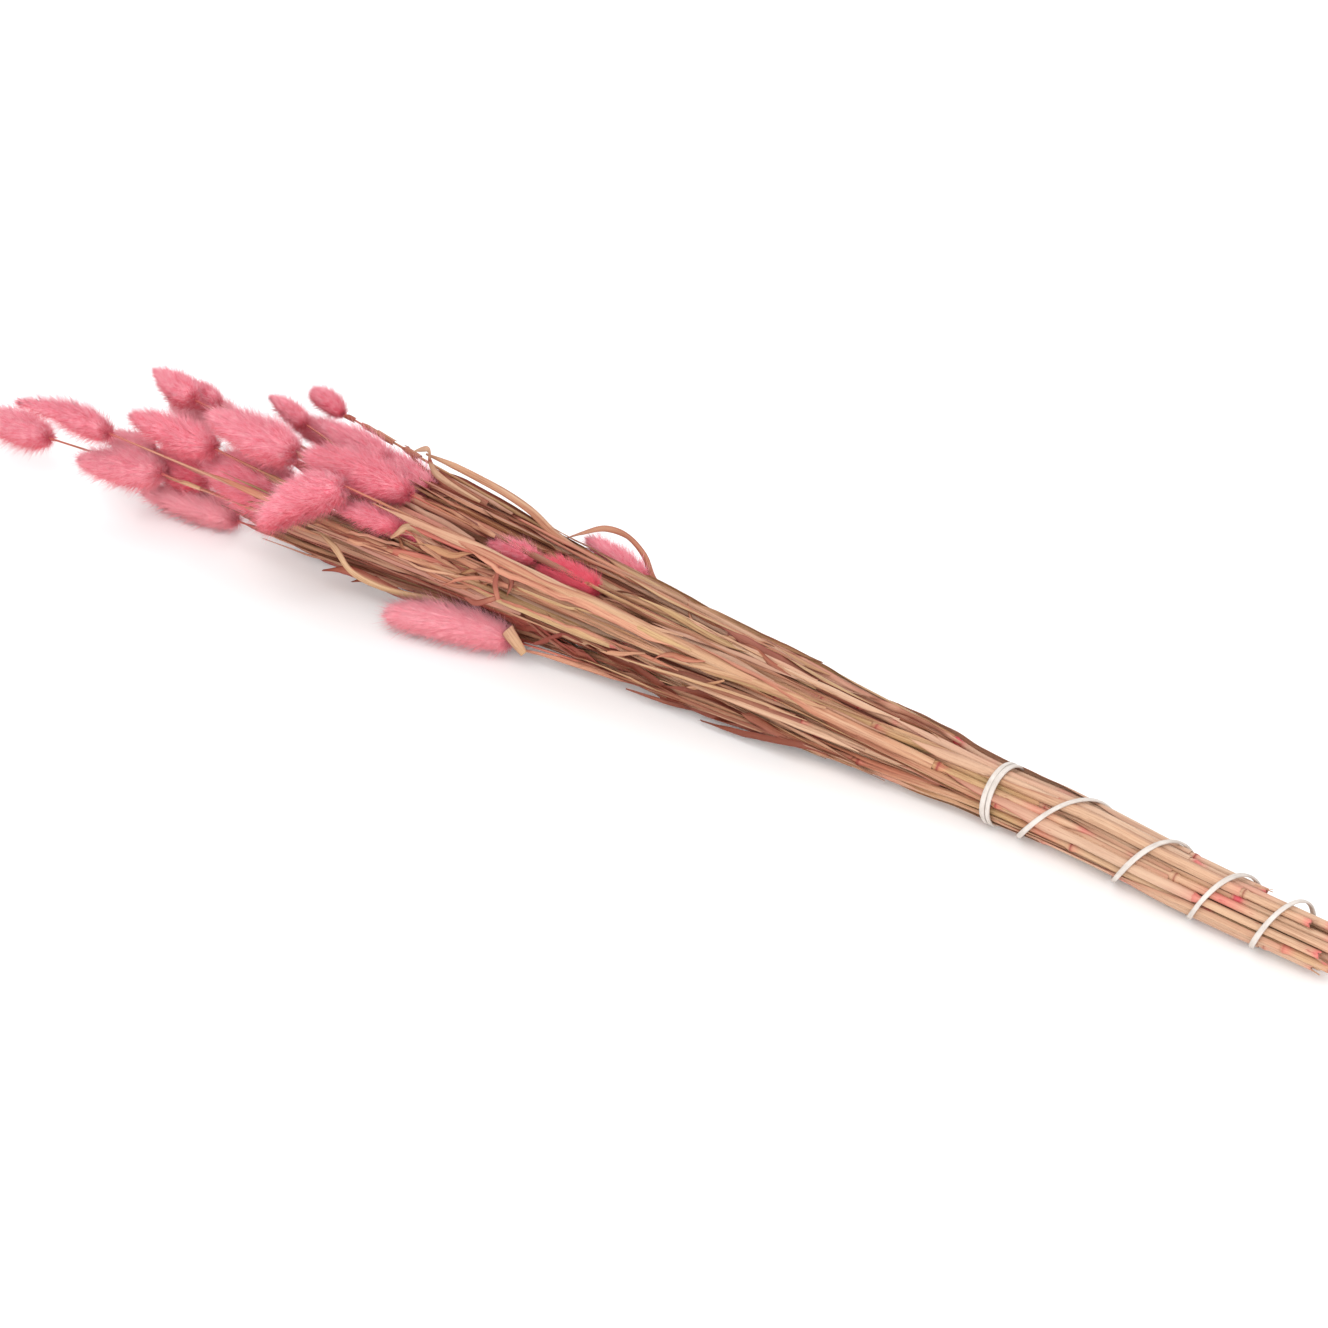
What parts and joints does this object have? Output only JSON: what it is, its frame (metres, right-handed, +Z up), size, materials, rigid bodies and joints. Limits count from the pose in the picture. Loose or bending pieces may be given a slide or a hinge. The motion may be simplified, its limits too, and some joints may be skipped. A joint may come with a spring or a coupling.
{
  "type": "bunch of dried bunny tail grass",
  "caption": "Lying bunch of pink-dyed dried bunny tail grass: soft oval heads on thin straw stems with dry curled leaves, wound with a pale elastic band near the cut ends.",
  "frame": {"origin": "middle of the bunch's footprint, on the surface that it lies on", "axes": "+X along the bunch towards the cut ends, with the heads at -X; +Z up from the surface"},
  "size_m": [0.663, 0.0964, 0.0653],
  "materials": {
    "head_fur": "soft matte hair",
    "stem_straw": "matte dry straw",
    "leaf_dry": "matte, papery",
    "elastic_band": "matte"
  },
  "bodies": {
    "root": {"head_01": "head_fur", "head_02": "head_fur", "head_03": "head_fur", "head_04": "head_fur", "head_05": "head_fur", "head_06": "head_fur", "head_07": "head_fur", "head_08": "head_fur", "head_09": "head_fur", "head_10": "head_fur", "head_11": "head_fur", "head_12": "head_fur", "head_13": "head_fur", "head_14": "head_fur", "head_15": "head_fur", "head_16": "head_fur", "head_17": "head_fur", "head_18": "head_fur", "head_19": "head_fur", "head_20": "head_fur", "head_21": "head_fur", "head_22": "head_fur", "head_23": "head_fur", "head_24": "head_fur", "head_25": "head_fur", "stem_01": "stem_straw", "stem_02": "stem_straw", "stem_03": "stem_straw", "stem_04": "stem_straw", "stem_05": "stem_straw", "stem_06": "stem_straw", "stem_07": "stem_straw", "stem_08": "stem_straw", "stem_09": "stem_straw", "stem_10": "stem_straw", "stem_11": "stem_straw", "stem_12": "stem_straw", "stem_13": "stem_straw", "stem_14": "stem_straw", "stem_15": "stem_straw", "stem_16": "stem_straw", "stem_17": "stem_straw", "stem_18": "stem_straw", "stem_19": "stem_straw", "stem_20": "stem_straw", "stem_21": "stem_straw", "stem_22": "stem_straw", "stem_23": "stem_straw", "stem_24": "stem_straw", "stem_25": "stem_straw", "leaf_arc": "leaf_dry", "leaf_loop": "leaf_dry", "leaf_point": "leaf_dry", "leaf_bend": "leaf_dry", "leaf_ribbon": "leaf_dry", "leaf_broad": "leaf_dry", "leaf_under": "leaf_dry", "leaf_stub": "leaf_dry", "leaf_hook": "leaf_dry", "elastic_band": "elastic_band"}
  },
  "joints": []
}
